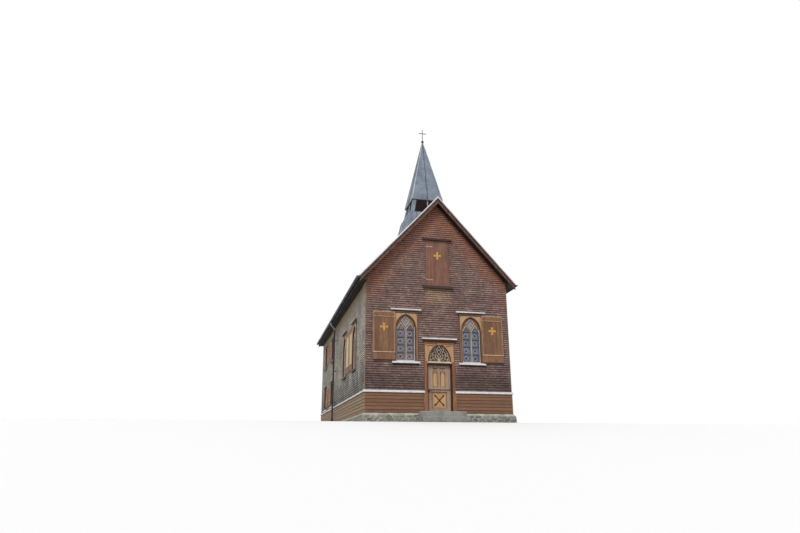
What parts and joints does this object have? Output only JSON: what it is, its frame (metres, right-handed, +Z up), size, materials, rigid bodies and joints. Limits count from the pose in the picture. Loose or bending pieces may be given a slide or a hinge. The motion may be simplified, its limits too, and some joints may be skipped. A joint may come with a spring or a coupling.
{
  "type": "small timber chapel with a ridge turret",
  "caption": "Gabled timber chapel on a low stone plinth, with arched windows, hinged shutters, an opening door and an open belfry under a steep spire.",
  "frame": {"origin": "on the ground, on the centreline, under the outer face of the front wall", "axes": "+X to the right along the front, +Y from the front to the rear, +Z up"},
  "size_m": [7.3412, 17.7552, 14.815],
  "materials": {
    "stone": "rubble masonry, mortar smeared",
    "step_stone": "worn grey stone",
    "shingles_front": "weathered wooden shingles",
    "shingles_side": "sun bleached wooden shingles",
    "floor_boards": "bare boards",
    "skirting_paint": "stained boards, weathered",
    "zinc": "pale folded zinc sheet",
    "oak_frame": "stained timber",
    "glass": "leaded glass",
    "shutter_wood": "stained boards, weathered",
    "cross_paint": "ochre paint",
    "iron": "black iron",
    "pale_iron": "weathered pale iron",
    "door_wood": "stained timber",
    "tracery_wood": "weathered timber",
    "dark_moulding": "dark stained timber",
    "hatch_wood": "stained boards, weathered",
    "roof_timber": "boards",
    "roof_sheet": "standing seam sheet, weathered",
    "barge_wood": "stained timber",
    "gutter_sheet": "blue grey painted sheet",
    "downpipe_sheet": "dark painted sheet",
    "turret_sheet": "pale grey sheet",
    "belfry_wood": "weathered timber",
    "spire_sheet": "blue grey sheet"
  },
  "bodies": {
    "chapel": {"plinth": "stone", "door_steps": "step_stone", "floors": "floor_boards", "front_wall_left": "shingles_front", "front_wall_right": "shingles_front", "front_wall_over_door": "shingles_front", "front_gable": "shingles_front", "left_wall": "shingles_side", "right_wall": "shingles_side", "rear_wall": "shingles_side", "front_window_frames": "oak_frame", "side_window_frames": "oak_frame", "rear_bay_window_frames": "oak_frame", "window_glass": "glass", "zinc_hoods": "zinc", "window_sills": "zinc", "door_frame": "oak_frame", "door_tympanum": "tracery_wood", "door_cornice": "dark_moulding", "hinge_pins": "iron", "side_shutters": "shutter_wood", "gable_hatch": "hatch_wood", "gable_hatch_cross": "cross_paint", "gable_hatch_straps": "pale_iron", "hatch_hood_and_sill": "dark_moulding", "skirting_boards": "skirting_paint", "water_table": "zinc", "roof_deck_left": "roof_timber", "roof_deck_right": "roof_timber", "roof_sheet_left": "roof_sheet", "roof_sheet_right": "roof_sheet", "boxed_eaves": "barge_wood", "bargeboards": "barge_wood", "ridge_and_verge_trims": "zinc", "gutters": "gutter_sheet", "downpipes": "downpipe_sheet", "turret_base": "turret_sheet", "belfry_posts": "belfry_wood", "spire_soffit": "belfry_wood", "spire": "spire_sheet", "spire_finial": "iron"},
    "door": {"door_leaf": "door_wood", "door_handle": "iron"},
    "left_shutter": {"left_shutter": "shutter_wood", "left_shutter_cross": "cross_paint"},
    "right_shutter": {"right_shutter": "shutter_wood", "right_shutter_cross": "cross_paint"}
  },
  "joints": [
    {"name": "door_hinge", "type": "hinge", "parent": "chapel", "child": "door", "pos_m": [0.536, 0.172, 1.43], "axis": [0, 0, -1], "range_deg": [0, 100]},
    {"name": "left_shutter_hinge", "type": "hinge", "parent": "chapel", "child": "left_shutter", "pos_m": [-1.94, -0.067, 3.56], "axis": [0, 0, 1], "range_deg": [0, 180]},
    {"name": "right_shutter_hinge", "type": "hinge", "parent": "chapel", "child": "right_shutter", "pos_m": [1.94, -0.067, 3.56], "axis": [0, 0, -1], "range_deg": [0, 180]}
  ]
}
